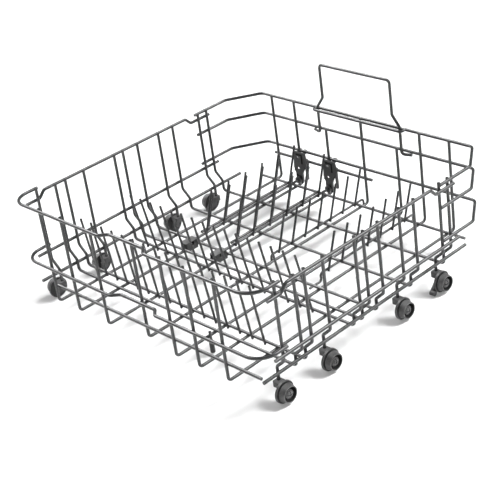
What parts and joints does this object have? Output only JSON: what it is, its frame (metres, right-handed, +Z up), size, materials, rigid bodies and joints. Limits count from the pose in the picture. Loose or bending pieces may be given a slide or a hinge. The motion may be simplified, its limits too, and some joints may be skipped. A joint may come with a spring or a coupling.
{
  "type": "dishwasher basket",
  "caption": "Lower dishwasher basket of coated steel wire on wheels, with fixed and folding plate tines and a sliding support loop.",
  "frame": {"origin": "on the floor under the middle of the basket, at the wheels' lowest point", "axes": "+Z up, +Y to the rear wall with the support loop, +X to the basket's right side seen from the front"},
  "size_m": [0.53, 0.5206, 0.2645],
  "materials": {
    "coated_wire": "satin nylon coat",
    "black_plastic": "matte moulded",
    "holder_plastic": "matte moulded",
    "wheel_plastic": "matte moulded"
  },
  "bodies": {
    "frame": {"centre_carrier": "coated_wire", "centre_tines": "coated_wire", "cross_wire_1": "coated_wire", "cross_wire_2": "coated_wire", "cross_wire_3": "coated_wire", "cross_wire_4": "coated_wire", "cross_wire_5": "coated_wire", "cross_wire_6": "coated_wire", "cross_wire_7": "coated_wire", "front_lower_wire": "coated_wire", "front_middle_rail": "coated_wire", "front_peg": "coated_wire", "front_tines": "coated_wire", "front_top_rail": "coated_wire", "inner_row_bearing": "black_plastic", "inner_row_latch": "black_plastic", "left_lower_rail": "coated_wire", "left_middle_rail": "coated_wire", "left_top_rail": "coated_wire", "left_wheel_holders": "holder_plastic", "left_wheel_legs": "coated_wire", "length_wire_1": "coated_wire", "length_wire_2": "coated_wire", "length_wire_3": "coated_wire", "length_wire_4": "coated_wire", "length_wire_5": "coated_wire", "length_wire_6": "coated_wire", "length_wire_7": "coated_wire", "middle_tines": "coated_wire", "outer_row_bearing": "black_plastic", "outer_row_latch": "black_plastic", "peg_cap": "black_plastic", "rear_floor_wire": "coated_wire", "rear_guide_wire": "coated_wire", "rear_latch_rail": "coated_wire", "rear_second_rail": "coated_wire", "rear_third_rail": "coated_wire", "rear_top_rail": "coated_wire", "right_carrier": "coated_wire", "right_lower_rail": "coated_wire", "right_middle_rail": "coated_wire", "right_tines": "coated_wire", "right_top_rail": "coated_wire", "right_wheel_holders": "holder_plastic", "right_wheel_legs": "coated_wire"},
    "outer_row": {"outer_fold_axle": "coated_wire", "outer_fold_brace": "coated_wire", "outer_fold_tines": "coated_wire"},
    "inner_row": {"inner_fold_axle": "coated_wire", "inner_fold_brace": "coated_wire", "inner_fold_tines": "coated_wire"},
    "support": {"rear_support": "coated_wire"},
    "left_wheel_1": {"left_wheel_1": "wheel_plastic"},
    "left_wheel_2": {"left_wheel_2": "wheel_plastic"},
    "left_wheel_3": {"left_wheel_3": "wheel_plastic"},
    "left_wheel_4": {"left_wheel_4": "wheel_plastic"},
    "right_wheel_1": {"right_wheel_1": "wheel_plastic"},
    "right_wheel_2": {"right_wheel_2": "wheel_plastic"},
    "right_wheel_3": {"right_wheel_3": "wheel_plastic"},
    "right_wheel_4": {"right_wheel_4": "wheel_plastic"}
  },
  "joints": [
    {"name": "left_wheel_1_roll", "type": "hinge", "parent": "frame", "child": "left_wheel_1", "pos_m": [-0.258, -0.21631, 0.017], "axis": [1, 0, 0], "continuous": true},
    {"name": "left_wheel_2_roll", "type": "hinge", "parent": "frame", "child": "left_wheel_2", "pos_m": [-0.258, -0.12359, 0.017], "axis": [1, 0, 0], "continuous": true},
    {"name": "left_wheel_3_roll", "type": "hinge", "parent": "frame", "child": "left_wheel_3", "pos_m": [-0.258, 0.03629, 0.017], "axis": [1, 0, 0], "continuous": true},
    {"name": "left_wheel_4_roll", "type": "hinge", "parent": "frame", "child": "left_wheel_4", "pos_m": [-0.258, 0.12718, 0.017], "axis": [1, 0, 0], "continuous": true},
    {"name": "right_wheel_1_roll", "type": "hinge", "parent": "frame", "child": "right_wheel_1", "pos_m": [0.258, -0.21631, 0.017], "axis": [1, 0, 0], "continuous": true},
    {"name": "right_wheel_2_roll", "type": "hinge", "parent": "frame", "child": "right_wheel_2", "pos_m": [0.258, -0.12359, 0.017], "axis": [1, 0, 0], "continuous": true},
    {"name": "right_wheel_3_roll", "type": "hinge", "parent": "frame", "child": "right_wheel_3", "pos_m": [0.258, 0.03629, 0.017], "axis": [1, 0, 0], "continuous": true},
    {"name": "right_wheel_4_roll", "type": "hinge", "parent": "frame", "child": "right_wheel_4", "pos_m": [0.258, 0.12718, 0.017], "axis": [1, 0, 0], "continuous": true},
    {"name": "outer_row_fold", "type": "hinge", "parent": "frame", "child": "outer_row", "pos_m": [-0.14448, 0.1, 0.03835], "axis": [0, -1, 0], "range_deg": [0, 75]},
    {"name": "inner_row_fold", "type": "hinge", "parent": "frame", "child": "inner_row", "pos_m": [-0.075, 0.1, 0.03835], "axis": [0, -1, 0], "range_deg": [0, 75]},
    {"name": "support_slide", "type": "slide", "parent": "frame", "child": "support", "axis": [0, 0, 1], "range_m": [-0.0439, 0]}
  ]
}
